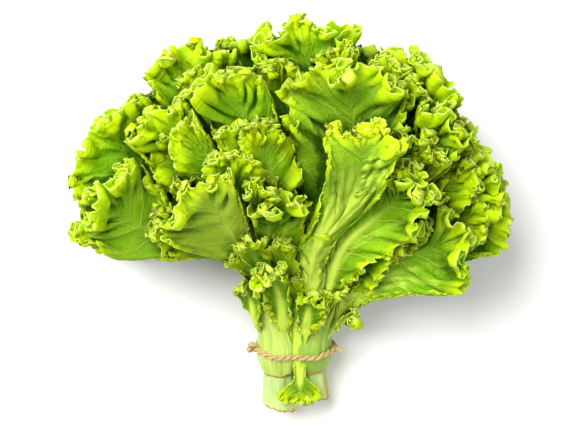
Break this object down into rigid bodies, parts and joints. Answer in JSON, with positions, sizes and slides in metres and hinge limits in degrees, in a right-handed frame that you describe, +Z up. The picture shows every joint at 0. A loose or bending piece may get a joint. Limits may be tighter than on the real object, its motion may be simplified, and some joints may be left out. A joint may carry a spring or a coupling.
{
  "type": "green leaf lettuce bunch",
  "caption": "Bunch of frilly green leaf lettuce on cut stumps, tied with twine and lying on its side.",
  "frame": {"origin": "middle of the surface that the bunch lies on, under the middle of its outer box", "axes": "+Z up, +Y from the cut stumps towards the leaf tips, +X to the right of the picture, across the fan of leaves"},
  "size_m": [0.2916, 0.2654, 0.1331],
  "materials": {
    "leaf": "satin",
    "stem": "satin",
    "twine": "matte"
  },
  "bodies": {
    "root": {"leaf_low_1": "leaf", "leaf_low_2": "leaf", "leaf_low_3": "leaf", "leaf_low_4": "leaf", "leaf_low_5": "leaf", "leaf_low_6": "leaf", "leaf_side_1": "leaf", "leaf_side_2": "leaf", "leaf_side_3": "leaf", "leaf_side_4": "leaf", "leaf_side_5": "leaf", "leaf_mid_1": "leaf", "leaf_mid_2": "leaf", "leaf_mid_3": "leaf", "leaf_mid_4": "leaf", "leaf_mid_5": "leaf", "leaf_mid_6": "leaf", "leaf_broad_1": "leaf", "leaf_broad_2": "leaf", "leaf_broad_3": "leaf", "leaf_broad_4": "leaf", "leaf_broad_5": "leaf", "leaf_left": "leaf", "leaf_inner_1": "leaf", "leaf_inner_2": "leaf", "leaf_centre": "leaf", "leaf_inner_3": "leaf", "leaf_right": "leaf", "leaf_folded": "leaf", "leaf_front_1": "leaf", "leaf_front_2": "leaf", "leaf_small_1": "leaf", "leaf_small_2": "leaf", "leaf_small_3": "leaf", "leaf_small_4": "leaf", "leaf_base": "leaf", "stem_left": "stem", "stem_right": "stem", "twine": "twine"}
  },
  "joints": []
}
